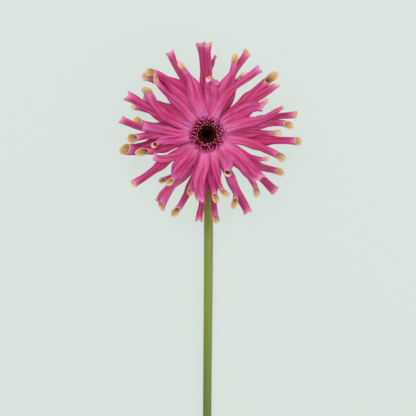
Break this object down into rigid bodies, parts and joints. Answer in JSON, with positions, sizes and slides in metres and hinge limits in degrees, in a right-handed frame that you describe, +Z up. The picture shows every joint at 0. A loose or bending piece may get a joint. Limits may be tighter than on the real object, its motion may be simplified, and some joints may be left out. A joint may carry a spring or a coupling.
{
  "type": "gerbera flower",
  "caption": "Cut gerbera with rolled, tube-like pink ray florets round a dark disc, lying on its back on a long leafless stem.",
  "frame": {"origin": "middle of the flower's footprint, on the surface it lies on", "axes": "+Z up from the surface, out of the bloom's face; +Y from the cut end of the stem towards the bloom; +X to the right of the bloom as seen in the picture"},
  "size_m": [0.1112, 0.4562, 0.0353],
  "materials": {
    "ray_petal": "satin petal",
    "purple_floret": "matt petal",
    "gold_floret": "matt petal",
    "dark_bud": "matt petal",
    "green_bract": "downy green",
    "green_stem": "downy green"
  },
  "bodies": {
    "root": {"ray_florets": "ray_petal", "trans_florets": "purple_floret", "open_disc_florets": "gold_floret", "disc_buds": "dark_bud", "involucre": "green_bract", "stem": "green_stem"}
  },
  "joints": []
}
